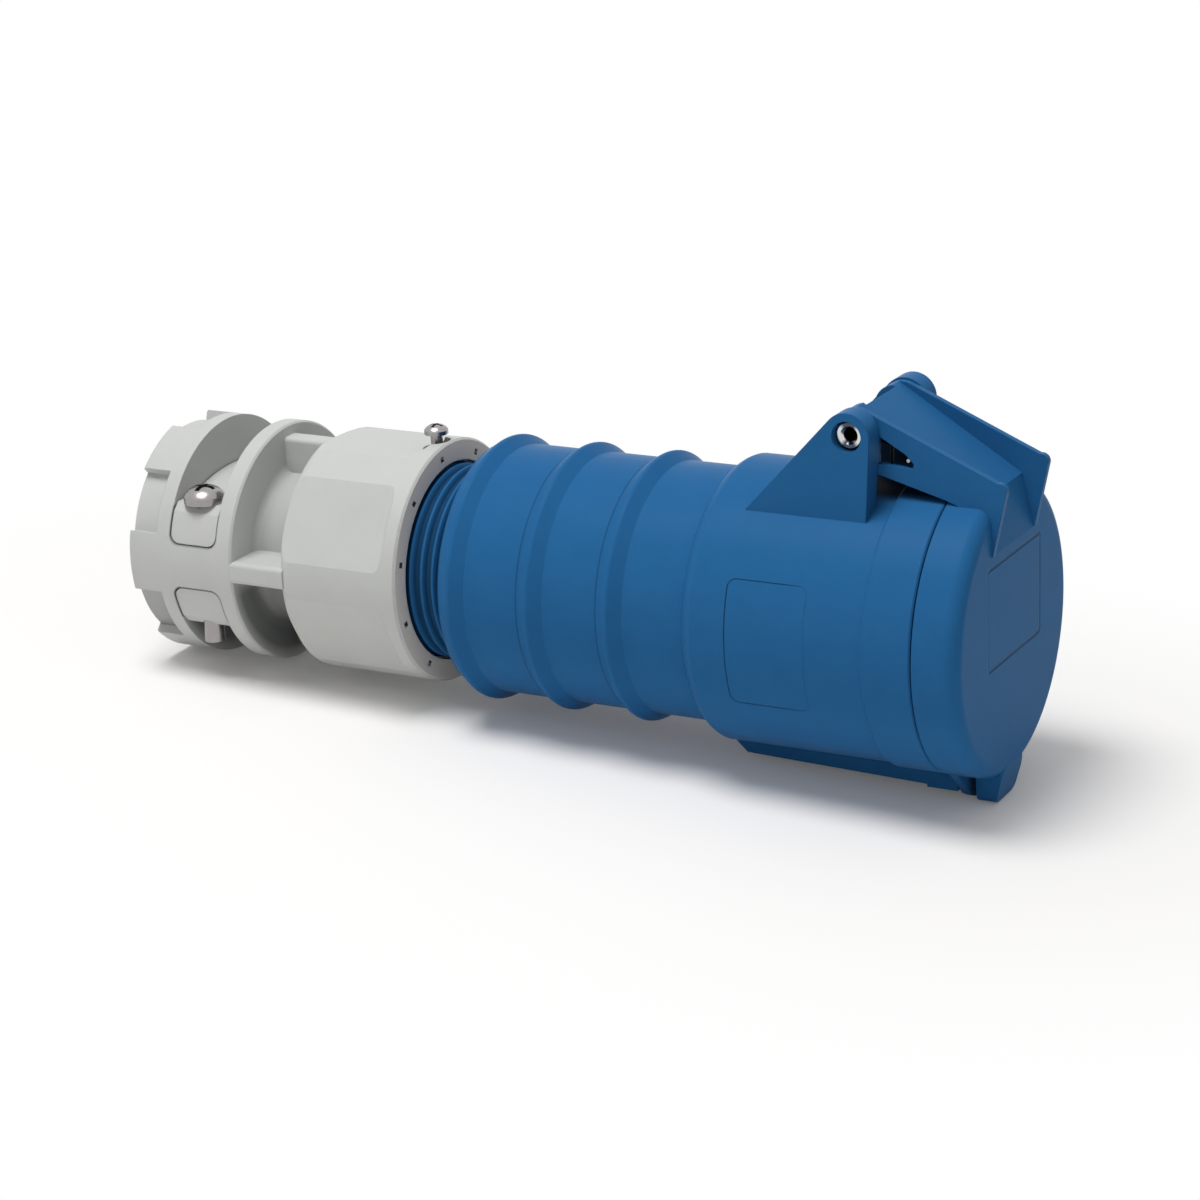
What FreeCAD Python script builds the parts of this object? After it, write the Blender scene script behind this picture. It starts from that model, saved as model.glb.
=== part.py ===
import FreeCAD, Part
import math
import os

# Industrial cable coupler, millimetres. The origin lies on the axis at the plane where the lid meets the
# housing, +X points out of the socket, +Z towards the hinge. The coupler lies on its rear collar and lid lug.

# Clearances
fit_gap = 0.3              # between faces that slide past or seat beside each other
shaft_gap = 0.08           # radial, round a turning shaft
thread_gap = 0.05          # radial, round a screw in its thread
beyond = 2.0               # a cutter runs this far past what it cuts
edge_break = 0.6           # small bevel on moulded edges

# Front housing: the barrel with its collar
bore_r = 36.5              # clear bore for the shroud of the plug
barrel_wall = 3.5
rim_step = 0.9             # the front collar stands proud of the barrel
collar_length = 13.3
seat_land = 2.0            # the barrel runs on this far behind the seat
shoulder_length = 4.0
seat_depth = 62.0          # the carrier's flange seats here
bore_lead = 1.0            # bevel at the mouth

# Handle: the ribbed grip behind the barrel
grip_drop = 4.2            # from the barrel's surface down to the grip's
grip_wall = 3.6
rib_pitch = 24.8
rib_count = 3
first_rib = 26.7           # behind the barrel's end
rib_height = 2.5
rib_half_base = 4.0
rib_half_crest = 1.0
grip_end_margin = 4.2      # from the last rib's crest to the rear face
chamber_taper = 12.0       # the chamber narrows to the cable passage over this length

# Threaded spigot behind the grip
thread_drop = 7.5          # from the grip's surface down to the thread's crest
thread_depth = 1.3
thread_pitch = 3.6
thread_crest = 0.7
thread_flank = 0.75
thread_turns = 9
thread_relief = 1.6
spigot_wall = 3.0
passage_step = 6.0         # the cable passage is this much smaller in radius than the grommet's seat
grommet_seat = 13.0        # depth of the grommet's seat inside the spigot

# Keyway rail under the barrel
rail_half = 8.0
rail_over = 2.5            # past the barrel's end
rail_rear_height = 3.2     # below the barrel
rail_front_height = 4.8
rail_slant = 3.5
rail_wall = 2.3
keyway_half = 4.6
pad_length = 9.0
pad_height = 0.8

# Hinge ears and pin
pin_x = -24.7
pin_height = 15.5          # from the barrel's crest to the pin
pin_r = 2.3
pin_bore_r = 1.6
pin_head_r = 3.9
pin_head = 1.4
pin_head_bevel = 0.5
pin_flare = 0.9
head_sink = 2.0            # the pin's head lies this deep in the ear
ear_wall = 6.7
ear_boss_r = 6.5
ear_reach = 29.9           # from the pin back to the tip of the gusset
ear_front_slant = 1.4

# Lid
lid_gap = 0.5
lid_thick = 12.6
lid_edge_r = 4.0
lid_plate = 3.6
lid_cavity_margin = 6.5
arm_half = 16.2            # half the width over the arm's side walls
lip_wall = 2.0
knuckle_r = 6.0
hub_length = 6.6
arm_nose_reach = 3.5       # in front of the lid's face
arm_nose_z = 3.2           # above the rim
nose_r = 2.0
web_drop = 1.36            # of the sunken web below the knuckle's top, at the pin
web_angle = 32.1
web_thick = 2.2
arm_foot_drop = 16.2       # below the rim
arm_foot_x = 0.4           # the side walls end this far in front of the lid's face
facet_back = 3.1           # the sloped facet between the walls starts this far behind the lid's face
arm_root = 6.0             # the arm runs this deep into the lid
web_root = 4.0
heel_drop = 11.3           # of the wall's heel below the pin
heel_cover = 2.0
gasket_in = 0.6            # from the bore to the gasket's inner edge, inwards
gasket_out = 1.4           # from the rim to the gasket's outer edge, inwards
gasket_thick = 2.3
lug_drop = 7.5             # of the lug below the rim
lug_root = 4.0
lug_corner = 1.4
hook_top_half = 15.5
hook_half = 4.3
hook_thick = 2.4
hook_slot = 2.1
tooth_half = 8.2
tooth_taper = 1.0
tooth_slope = 2.7
tooth_corner_r = 2.6

# Window in each wall of the arm, from the pin: along and down
window_rear = 6.0
window_rear_top = 0.7
window_bend = 13.8
window_bend_drop = 5.2
window_tip = 16.2
window_tip_drop = 7.6
window_nose = 15.9
window_nose_drop = 8.9
window_rear_foot = 8.5

# Spring on the hinge pin
wire_r = 0.5
coil_turns = 10
coil_gap = 0.2
leg_reach = 14.5           # of the leg in the window, from the pin
leg_drop = 6.9
foot_length = 4.5

# Contact carrier
plug_space = 6.7           # between the barrel's bore and the carrier, for the plug's shroud
carrier_wall = 2.8
carrier_face = 6.0         # its face lies this deep behind the mouth
flange_thick = 6.0
contact_inset = 12.3       # of the contacts' circle from the carrier's surface
line_pin_r = 4.05
earth_pin_r = 5.05
sleeve_wall = 1.9
sleeve_front = 6.0         # from the carrier's face to the sleeve's end
sleeve_depth = 34.0
sleeve_slot = 1.2
slot_length = 27.0
sleeve_lead = 0.6          # the sleeve's mouth widens by this much
sleeve_neck = 1.0          # over the pin's radius, where the sleeve passes the retainer
pin_way = 0.7              # round the pin, through the carrier's face
ring_wall = 0.8
ring_width = 4.0
ring_back = 3.0            # behind the sleeve's end
ring_split = 1.6
pilot_r = 3.5
pilot_depth = 12.0
carrier_screw_r = 1.75
carrier_screw_head_r = 2.9
carrier_screw_head = 2.2
carrier_screw_length = 16.0
screw_end_gap = 2.5        # between a screw's end and the floor of its hole
driver_slot = 0.9
driver_slot_depth = 1.1
boss_wall = 2.6            # round the carrier's screws
boss_floor = 1.5
retainer_thick = 5.0
collar_thick = 5.0
terminal_length = 21.0
terminal_r = 8.0
wire_hole_r = 3.9
wire_hole_depth = 16.8
first_terminal_screw = 4.6 # from the terminal's end
terminal_screw_pitch = 7.6
terminal_screw_proud = 1.0
terminal_screw_r = 2.5
terminal_screw_length = 7.0
post_screw_r = 1.5
post_screw_head_r = 2.7
post_screw_head = 2.0
post_screw_length = 12.0
post_outset = 2.5          # from the contacts' circle out to these screws

# Gland nut with its clamp cage
nut_gap = 14.4             # from the handle's shoulder back to the nut's front face
nut_wall = 7.3             # over the thread's crest
nut_flat = 2.4             # depth of the hexagon's flats
nut_rim = 4.2
nut_length = 39.6
nut_round = 4.0
flat_runout = 3.0
nut_thread_depth = 28.8
nut_lead = 2.0
nut_lead_step = 0.6
neck_wall = 6.0
neck_length = 15.6
neck_fillet = 2.5
cage_flange = 5.2
cage_gap = 16.1
collar_disc = 4.6
collar_skirt = 9.8
collar_notch = 3.0
notch_angle = 31.0
skirt_wall = 8.6
web_half = 3.2
web_edge_r = 1.4
web_below_flat = 0.8       # the upright webs end this far below the flats of the hexagon
web_below_rim = 0.1
beam_half = 6.5
beam_depth = 15.0          # of the side beams, inwards from the nut's outside
window_r = 3.0
cable_hole_step = 2.0      # the nut's cable hole is this much smaller in radius than the passage

# Lock screw in the nut
lock_back = 4.8            # behind the nut's front face
lock_r = 1.75
lock_length = 6.0
lock_head_r = 3.5
lock_head = 2.6
lock_tip_gap = 3.2         # above the thread's crest
lock_sink_r = 4.0
lock_sink = 2.6            # depth of the dish round the screw

# Pits round the nut's front face, at these angles from the near side
pit_angles = [13.4, 46.2, 80.3, 115.3, 147.0, 178.7, 210.4, 242.1, 273.8, 305.6, 340.8]
pit_width = 1.7
pit_depth = 1.5
pit_inset = 3.7            # from the nut's outside

# Grommet and pressure ring
grommet_wall = 10.2
ring_thick = 2.5
ring_flare = 2.0
grommet_bevel = 2.0
groove_depth = 1.2
groove_count = 2

# Cable clamp
jaw_top_wall = 5.5         # over the saddle, at the ears
jaw_crown_wall = 9.3
lower_ear_extra = 0.8      # the lower jaw's ears are this much thicker
ear_chamfer = 2.3
jaw_nose = 1.0             # height of the saddle's edges above the axis
saddle_step = 3.5          # the saddle is this much smaller in radius than the cable hole
saddle_ribs = 3
saddle_rib = 0.8
saddle_rib_width = 1.6
clamp_inset = 8.6          # of the clamp's screws from the nut's outside
clamp_r = 3.0
clamp_head_r = 6.0
clamp_head = 4.6
clamp_length = 42.5

V = FreeCAD.Vector
ORIGIN = V(0, 0, 0)
X = V(1, 0, 0)
Y = V(0, 1, 0)
Z = V(0, 0, 1)
arc_inset = 1 - math.sqrt(0.5)  # of the middle of a rounded corner from each side, as a share of its radius

# Places worked out from the sizes above
barrel_r = bore_r + barrel_wall
barrel_length = seat_depth + seat_land
rim_r = barrel_r + rim_step
grip_r = barrel_r - grip_drop
chamber_r = grip_r - grip_wall
grip_start = -(barrel_length + shoulder_length)
rib_start = barrel_length + first_rib
grip_end = -(rib_start + (rib_count - 1) * rib_pitch + grip_end_margin)
thread_r = grip_r - thread_drop
root_r = thread_r - thread_depth
spigot_bore_r = root_r - spigot_wall
passage_r = spigot_bore_r - passage_step
spigot_end = grip_end - thread_relief - thread_turns * thread_pitch
grommet_front = spigot_end + grommet_seat
rail_rear_z = barrel_r + rail_rear_height
rail_front_z = barrel_r + rail_front_height
pin_z = barrel_r + pin_height
ear_in = arm_half + fit_gap
ear_out = ear_in + ear_wall
lid_face = lid_gap + lid_thick
lip_in = arm_half - lip_wall
arm_foot_z = rim_r - arm_foot_drop
facet_top_x = lid_face - facet_back
leg_x = pin_x + leg_reach
leg_z = pin_z - leg_drop
carrier_r = bore_r - plug_space
contact_circle_r = carrier_r - contact_inset
carrier_front = -carrier_face
flange_front = -(seat_depth - flange_thick)
retainer_front = -seat_depth
retainer_rear = retainer_front - retainer_thick
nut_r = thread_r + nut_wall
nut_flat_r = nut_r - nut_flat
nut_face = grip_end - nut_gap
nut_rear = nut_face - nut_length
thread_floor = nut_face - nut_thread_depth
neck_rear = nut_rear - neck_length
flange_rear = neck_rear - cage_flange
disc_front = flange_rear - cage_gap
disc_rear = disc_front - collar_disc
rear_end = disc_rear - collar_skirt
clamp_x = (flange_rear + disc_front) / 2
cable_hole_r = passage_r - cable_hole_step
neck_r = cable_hole_r + neck_wall
skirt_r = nut_r - skirt_wall
beam_in = nut_r - beam_depth
clamp_y = nut_r - clamp_inset
saddle_r = cable_hole_r - saddle_step
jaw_top = saddle_r + jaw_top_wall
jaw_crown = saddle_r + jaw_crown_wall
grommet_r = spigot_bore_r - fit_gap - grommet_wall
lock_tip = thread_r + lock_tip_gap
lock_x = nut_face - lock_back


# A step of an outline is a point, or a pair of points for an arc through the first to the second
def wire(points, place):
    edges = []
    here = points[0]
    for step in points[1:] + points[:1]:
        if isinstance(step[0], tuple):
            edges.append(Part.Arc(place(*here), place(*step[0]), place(*step[1])).toShape())
            here = step[1]
        elif math.dist(step, here) > 1e-6:
            edges.append(Part.LineSegment(place(*here), place(*step)).toShape())
            here = step
    return Part.Wire(edges)


def turned(points):
    face = Part.Face(wire(points, lambda x, r: V(x, 0, r)))
    return face.revolve(ORIGIN, X, 360)


def turned_on_pin(points):
    face = Part.Face(wire(points, lambda y, r: V(pin_x, y, pin_z + r)))
    return face.revolve(V(pin_x, 0, pin_z), Y, 360)


def turned_upright(points, x, y):
    face = Part.Face(wire(points, lambda r, z: V(x + r, y, z)))
    return face.revolve(V(x, y, 0), Z, 360)


def ring_x(x0, x1, r_out, r_in):
    return turned([(x0, r_in), (x1, r_in), (x1, r_out), (x0, r_out)])


def rod_x(x0, x1, r, y=0.0, z=0.0):
    return Part.makeCylinder(r, abs(x1 - x0), V(min(x0, x1), y, z), X)


def rod_y(y0, y1, r, x, z):
    return Part.makeCylinder(r, abs(y1 - y0), V(x, min(y0, y1), z), Y)


def rod_z(z0, z1, r, x, y):
    return Part.makeCylinder(r, abs(z1 - z0), V(x, y, min(z0, z1)), Z)


def slab_y(points, y0, y1):
    face = Part.Face(wire(points, lambda x, z: V(x, y0, z)))
    return face.extrude(V(0, y1 - y0, 0))


def slab_x(points, x0, x1):
    face = Part.Face(wire(points, lambda y, z: V(x0, y, z)))
    return face.extrude(V(x1 - x0, 0, 0))


def block(x0, x1, y0, y1, z0, z1):
    return Part.makeBox(x1 - x0, y1 - y0, z1 - z0, V(x0, y0, z0))


def turned_by(shape, angle):
    copy = shape.copy()
    copy.rotate(ORIGIN, X, angle)
    return copy


def joined(shape, others):
    return shape.fuse(others).removeSplitter()


def both_sides(shape):
    return [shape, shape.mirror(ORIGIN, Y)]


def polar(radius, angle):
    return (radius * math.cos(math.radians(angle)), radius * math.sin(math.radians(angle)))


def tangent_point(point, centre, radius, side):
    span = math.dist(point, centre)
    toward = math.atan2(point[1] - centre[1], point[0] - centre[0])
    turn = toward + side * math.acos(radius / span)
    return (centre[0] + radius * math.cos(turn), centre[1] + radius * math.sin(turn))


# The three contacts: name, radius of the mating pin, and angle on the circle with the earth at the keyway
contacts = [("line", line_pin_r, 30.0), ("neutral", line_pin_r, 150.0), ("earth", earth_pin_r, 270.0)]
flange_screw_angles = [45.0, 135.0, 225.0, 315.0]
post_angles = [90.0, 210.0, 330.0]
flange_screw_circle = (carrier_r + bore_r) / 2
screw_boss_r = carrier_screw_r + boss_wall
post_circle_r = contact_circle_r + post_outset


def sleeve_r(pin_radius):
    return pin_radius + sleeve_wall


def front_housing_shell():
    points = [(0, bore_r + bore_lead), (0, rim_r - rim_step / 2)]
    points += [(-rim_step / 2, rim_r), (-collar_length, rim_r)]
    points += [(-collar_length - rim_step, barrel_r), (-barrel_length, barrel_r)]
    bow = (-barrel_length - shoulder_length * 0.55, barrel_r - grip_drop * 0.3)
    points += [(bow, (grip_start, grip_r)), (grip_start, chamber_r), (-seat_depth, chamber_r)]
    points += [(-seat_depth, bore_r), (-bore_lead, bore_r)]
    return turned(points)


def handle_shell():
    points = [(grip_start, chamber_r), (grip_start, grip_r)]
    for index in range(rib_count):
        crest = -(rib_start + index * rib_pitch)
        flank = grip_r + rib_height * 0.85
        points += [(crest + rib_half_base, grip_r), (crest + rib_half_crest, flank)]
        points.append(((crest, grip_r + rib_height), (crest - rib_half_crest, flank)))
        points.append((crest - rib_half_base, grip_r))
    points += [(grip_end, grip_r), (grip_end, root_r)]
    for index in range(thread_turns):
        start = grip_end - thread_relief - index * thread_pitch
        points += [(start, root_r), (start - thread_flank, thread_r)]
        points.append((start - thread_flank - thread_crest, thread_r))
        points.append((start - 2 * thread_flank - thread_crest, root_r))
    points += [(spigot_end, root_r), (spigot_end, spigot_bore_r), (grommet_front, spigot_bore_r)]
    points += [(grommet_front, passage_r), (grip_end, passage_r), (grip_end + chamber_taper, chamber_r)]
    return turned(points)


def rail():
    hidden = -(bore_r + barrel_wall / 3)
    rear = -barrel_length - rail_over
    points = [(rear, hidden), (rear, -barrel_r)]
    points += [(rear + rail_slant, -rail_rear_z), (-pad_length, -rail_front_z)]
    points += [(-pad_length, -rail_front_z - pad_height), (0, -rail_front_z - pad_height), (0, hidden)]
    return slab_y(points, -rail_half, rail_half)


def ear():
    centre = (pin_x, pin_z)
    tip = (pin_x - ear_reach, math.sqrt(barrel_r ** 2 - ear_out ** 2))
    foot_z = math.sqrt(bore_r ** 2 - ear_out ** 2)
    back = tangent_point(tip, centre, ear_boss_r, -1)
    front = (pin_x + ear_boss_r, pin_z)
    crown = (pin_x + ear_boss_r * 0.2, pin_z + ear_boss_r * math.sqrt(0.96))
    points = [(tip[0], foot_z), tip, back, (crown, front)]
    points.append((pin_x + ear_boss_r - ear_front_slant, foot_z))
    plate = slab_y(points, -ear_out, -ear_in)
    hole = rod_y(-ear_out - beyond, -ear_in + beyond, pin_r + thread_gap, pin_x, pin_z)
    sink = rod_y(-ear_out - beyond, -ear_out + head_sink + pin_head, pin_head_r + fit_gap, pin_x, pin_z)
    return plate.cut([hole, sink])


def at_flange_screws(front, rear, r):
    return [rod_x(front, rear, r, *polar(flange_screw_circle, angle)) for angle in flange_screw_angles]


def front_housing():
    solid = joined(rod_x(0, grip_start, bore_r), [front_housing_shell(), rail()] + both_sides(ear()))
    bore = rod_x(beyond, -seat_depth, bore_r)
    chamber = rod_x(0, grip_start - beyond, chamber_r)
    floor = -(rail_rear_z - rail_wall)
    keyway = block(-seat_depth, beyond, -keyway_half, keyway_half, floor, 0)
    bosses = at_flange_screws(-seat_depth, grip_start, screw_boss_r)
    bosses = [boss.common(rod_x(0, grip_start, grip_r)) for boss in bosses]
    body = joined(solid.cut([bore, chamber, keyway]), bosses)
    return body.cut(at_flange_screws(0, grip_start - beyond, carrier_screw_r + fit_gap))


def handle():
    outside = rod_x(grip_start, grip_end, grip_r)
    end = -seat_depth - carrier_screw_length
    bosses = [boss.common(outside) for boss in at_flange_screws(grip_start, end, screw_boss_r)]
    holes = at_flange_screws(grip_start + beyond, end + boss_floor, carrier_screw_r + thread_gap)
    return joined(handle_shell(), bosses).cut(holes)


def lip():
    centre = (pin_x, pin_z)
    nose = (lid_face + arm_nose_reach, rim_r + arm_nose_z)
    top = tangent_point(nose, centre, knuckle_r, 1)
    slope = math.atan2(nose[1] - top[1], nose[0] - top[0])
    before = (nose[0] - nose_r * math.cos(slope), nose[1] - nose_r * math.sin(slope))
    round_off = (nose[0] + nose_r * 0.32, nose[1] - nose_r * 0.42)
    after = (nose[0] + nose_r * 0.3, nose[1] - nose_r)
    foot = (lid_face + arm_foot_x, arm_foot_z)
    heel = (pin_x + knuckle_r, pin_z - heel_drop)
    inside = lid_face - lid_plate / 2
    back = tangent_point(heel, centre, knuckle_r, -1)
    left = (pin_x - knuckle_r, pin_z)
    points = [top, before, (round_off, after), foot, (inside, arm_foot_z), (inside, rim_r - arm_root)]
    points += [(lid_gap, rim_r - heel_cover), heel, back, (left, top)]
    wall = slab_y(points, -arm_half, -lip_in)
    outline = [(window_rear, window_rear_top), (window_bend, window_bend_drop), (window_tip, window_tip_drop)]
    outline += [(window_nose, window_nose_drop), (window_rear, window_rear_foot)]
    window = [(pin_x + along, pin_z - down) for along, down in outline]
    return wall.cut(slab_y(window, -arm_half - beyond, -lip_in + beyond))


def web_height(x):
    drop = (x - pin_x) * math.tan(math.radians(web_angle))
    reach = (knuckle_r - web_drop) / math.cos(math.radians(web_angle))
    return pin_z + reach - drop


def arm():
    sink = web_thick / math.cos(math.radians(web_angle))
    rear = pin_x
    front = facet_top_x
    inner = front - web_root
    web = [(rear, web_height(rear) - sink), (rear, min(web_height(rear), pin_z + knuckle_r))]
    web += [(front, web_height(front)), (front, rim_r - arm_root), (inner, rim_r - arm_root)]
    web += [(inner, web_height(inner) - sink)]
    hub = rod_y(-arm_half, -arm_half + hub_length, knuckle_r, pin_x, pin_z)
    return [slab_y(web, -lip_in, lip_in)] + both_sides(hub)


def lug():
    bottom = -rim_r - lug_drop
    top = -math.sqrt(rim_r ** 2 - hook_top_half ** 2)
    inside = top + lug_root
    bend = bottom + lug_corner
    hook = [(-hook_top_half, inside), (-hook_top_half, top), (-hook_half - lug_corner, bend)]
    hook += [(-hook_half + lug_corner, bottom), (hook_half - lug_corner, bottom)]
    hook += [(hook_half + lug_corner, bend)]
    hook += [(hook_top_half, top), (hook_top_half, inside)]
    plate = slab_x(hook, lid_gap, lid_gap + hook_thick)
    rear = lid_gap + hook_thick + hook_slot
    r = tooth_corner_r
    low = tooth_half - tooth_taper
    turn = r * arc_inset
    across = [(-tooth_half, inside), (-low, bottom + r), ((-low + turn, bottom + turn), (-low + r, bottom))]
    across += [(low - r, bottom), ((low - turn, bottom + turn), (low, bottom + r)), (tooth_half, inside)]
    along = [(rear, inside), (rear, bottom), (lid_face - tooth_slope, bottom)]
    along += [(lid_face, top), (lid_face, inside)]
    tooth = slab_x(across, rear, lid_face).common(slab_y(along, -tooth_half, tooth_half))
    upright = tooth.common(rounded_plan(rear, lid_face, tooth_half, r))
    return [plate, upright]


def rounded_plan(x0, x1, half, r):
    turn = r * arc_inset
    plan = [(x0, -half), (x1 - r, -half), ((x1 - turn, -half + turn), (x1, -half + r)), (x1, half - r)]
    plan += [((x1 - turn, half - turn), (x1 - r, half)), (x0, half)]
    low = -rim_r - lug_drop - beyond
    face = Part.Face(wire(plan, lambda x, y: V(x, y, low)))
    return face.extrude(V(0, 0, rim_r))


def lid():
    edge = lid_edge_r * arc_inset
    shoulder = (lid_face - edge, rim_r - edge)
    disc = [(lid_gap, 0), (lid_gap, rim_r), (lid_face - lid_edge_r, rim_r)]
    disc += [(shoulder, (lid_face, rim_r - lid_edge_r)), (lid_face, 0)]
    body = joined(turned(disc), arm())
    crown = pin_z + knuckle_r + beyond
    ahead = lid_face + arm_nose_reach + beyond
    facet = [(facet_top_x, web_height(facet_top_x)), (facet_top_x, crown), (ahead, crown)]
    facet += [(ahead, arm_foot_z), (lid_face, arm_foot_z)]
    behind = pin_x - knuckle_r
    above = [(behind, web_height(behind)), (behind, crown + knuckle_r), (facet_top_x, crown + knuckle_r)]
    above += [(facet_top_x, web_height(facet_top_x))]
    body = body.cut([slab_y(facet, -lip_in, lip_in), slab_y(above, -lip_in, lip_in)])
    body = joined(body, both_sides(lip()) + lug())
    cavity = rod_x(lid_gap - beyond, lid_face - lid_plate, rim_r - lid_cavity_margin)
    groove_outside = rim_r - gasket_out + fit_gap
    groove_inside = bore_r - gasket_in - fit_gap
    groove = ring_x(lid_gap - beyond, fit_gap + gasket_thick, groove_outside, groove_inside)
    pocket = rod_y(-arm_half + hub_length, arm_half - hub_length, coil_r() + fit_gap, pin_x, pin_z)
    bore = rod_y(-arm_half - beyond, arm_half + beyond, pin_r + shaft_gap, pin_x, pin_z)
    return body.cut([cavity, groove, pocket, bore])


def lid_gasket():
    return ring_x(fit_gap, fit_gap + gasket_thick, rim_r - gasket_out, bore_r - gasket_in)


def hinge_pin():
    end = ear_out - head_sink
    neck = end - pin_head
    half = [(neck, pin_r), (neck, pin_head_r), (end - pin_head_bevel, pin_head_r)]
    half += [(end, pin_head_r - pin_head_bevel)]
    half += [(end, pin_bore_r + pin_flare), (end - pin_flare, pin_bore_r)]
    return turned_on_pin(half + [(-y, r) for y, r in reversed(half)])


def coil_r():
    return pin_r + coil_gap + 2 * wire_r


def rod_between(start, end, r):
    way = end - start
    return Part.makeCylinder(r, way.Length, start, way)


def lid_spring():
    inner = pin_r + coil_gap
    mean = inner + wire_r
    coil_crest = wire_r * 0.9
    near = -(arm_half - hub_length) + fit_gap
    points = [(near, inner)]
    for index in range(coil_turns):
        y = near + 2 * wire_r * index
        points += [(y, mean + wire_r * 0.3), (y + wire_r * 0.7, mean + coil_crest)]
        points.append((y + wire_r * 1.3, mean + coil_crest))
    far = near + 2 * wire_r * coil_turns
    points += [(far, mean + wire_r * 0.3), (far, inner)]
    coil = turned_on_pin(points)
    start = tangent_point((leg_x, leg_z), (pin_x, pin_z), mean, -1)
    y = near + wire_r
    bend = V(leg_x, y, leg_z)
    lid_leg = rod_between(V(start[0], y, start[1]), bend, wire_r)
    hook = rod_between(bend, V(leg_x, -arm_half + fit_gap, leg_z), wire_r)
    y = far - wire_r
    foot = V(pin_x + mean, y, barrel_r + wire_r + fit_gap)
    rear_leg = rod_between(V(pin_x + mean, y, pin_z), foot, wire_r)
    toe = rod_between(foot, foot - V(foot_length, 0, 0), wire_r)
    balls = [Part.makeSphere(wire_r, bend), Part.makeSphere(wire_r, foot)]
    return joined(coil, [lid_leg, hook, rear_leg, toe] + balls)


def contact_carrier():
    plate_rear = carrier_front - sleeve_front
    inner = carrier_r - carrier_wall
    points = [(carrier_front, pilot_r), (carrier_front, carrier_r - edge_break)]
    points += [(carrier_front - edge_break, carrier_r)]
    points += [(flange_front, carrier_r), (flange_front, bore_r - fit_gap), (-seat_depth, bore_r - fit_gap)]
    points += [(-seat_depth, inner), (plate_rear, inner), (plate_rear, pilot_r)]
    tab_floor = -(rail_rear_z - rail_wall - fit_gap)
    tab_half = keyway_half - fit_gap
    tab = block(-seat_depth, flange_front, -tab_half, tab_half, tab_floor, -carrier_r)
    holes = at_flange_screws(0, -seat_depth - beyond, carrier_screw_r + thread_gap)
    for name, pin_radius, angle in contacts:
        holes.append(rod_x(0, plate_rear - beyond, pin_radius + pin_way, *polar(contact_circle_r, angle)))
    return joined(turned(points), [tab]).cut(holes)


def contact_block():
    front = carrier_front - sleeve_front
    body = rod_x(front, -seat_depth, carrier_r - carrier_wall - fit_gap)
    holes = [rod_x(0, carrier_front - pilot_depth, pilot_r)]
    for name, pin_radius, angle in contacts:
        chamber = sleeve_r(pin_radius) + ring_wall + fit_gap
        holes.append(rod_x(0, -seat_depth - beyond, chamber, *polar(contact_circle_r, angle)))
    end = retainer_rear + post_screw_length + boss_floor
    return body.cut(holes + at_posts(end, -seat_depth - beyond, post_screw_r + thread_gap))


def at_posts(front, rear, r):
    return [rod_x(front, rear, r, *polar(post_circle_r, angle)) for angle in post_angles]


def contact_retainer():
    body = ring_x(retainer_front, retainer_rear, flange_screw_circle - screw_boss_r - fit_gap, pilot_r)
    holes = at_posts(retainer_front + beyond, retainer_rear - beyond, post_screw_r + thread_gap)
    for name, pin_radius, angle in contacts:
        y, z = polar(contact_circle_r, angle)
        hole_r = pin_radius + sleeve_neck + fit_gap
        holes.append(rod_x(retainer_front + beyond, retainer_rear - beyond, hole_r, y, z))
    return body.cut(holes)


def sleeve(pin_radius, angle):
    front = carrier_front - sleeve_front
    outer = sleeve_r(pin_radius)
    collar_front = -seat_depth + collar_thick
    head_front = retainer_rear - fit_gap
    end = head_front - terminal_length
    neck = pin_radius + sleeve_neck
    points = [(front, pin_radius + sleeve_lead), (front, outer), (collar_front, outer)]
    points += [(collar_front, outer + ring_wall), (-seat_depth, outer + ring_wall), (-seat_depth, neck)]
    points += [(head_front, neck), (head_front, terminal_r), (end, terminal_r), (end, wire_hole_r)]
    points += [(end + wire_hole_depth, wire_hole_r), (end + wire_hole_depth, 0), (front - sleeve_depth, 0)]
    points += [(front - sleeve_depth, pin_radius), (front - 2 * sleeve_lead, pin_radius)]
    reach = outer + beyond
    slot = block(front - slot_length, front + beyond, -sleeve_slot / 2, sleeve_slot / 2, -reach, reach)
    body = turned(points).cut([slot] + terminal_holes(end))
    return placed_contact(body, angle)


# The sleeve is drawn on the axis with its terminal screws pointing up, then set on the circle
def placed_contact(shape, angle):
    copy = shape.copy()
    copy.translate(V(0, 0, contact_circle_r))
    copy.rotate(ORIGIN, X, angle - 90)
    return copy


def terminal_spots(end):
    return [end + first_terminal_screw, end + first_terminal_screw + terminal_screw_pitch]


def terminal_holes(end):
    return [rod_z(0, terminal_r + beyond, terminal_screw_r + thread_gap, x, 0) for x in terminal_spots(end)]


def terminal_screws():
    end = retainer_rear - fit_gap - terminal_length
    top = terminal_r + terminal_screw_proud
    half = driver_slot / 2
    reach = terminal_screw_r + beyond
    screws = []
    for name, pin_radius, angle in contacts:
        for x in terminal_spots(end):
            screw = rod_z(top - terminal_screw_length, top, terminal_screw_r, x, 0)
            slot = block(x - reach, x + reach, -half, half, top - driver_slot_depth, top + beyond)
            screws.append(placed_contact(screw.cut(slot), angle))
    return Part.makeCompound(screws)


def sleeve_rings():
    rings = []
    for name, pin_radius, angle in contacts:
        front = carrier_front - sleeve_front - ring_back
        rear = front - ring_width
        inner = sleeve_r(pin_radius)
        ring = ring_x(front, rear, inner + ring_wall, inner)
        split = block(rear - beyond, front + beyond, 0, inner + beyond, -ring_split / 2, ring_split / 2)
        rings.append(placed_contact(ring.cut(split), angle))
    return Part.makeCompound(rings)


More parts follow.
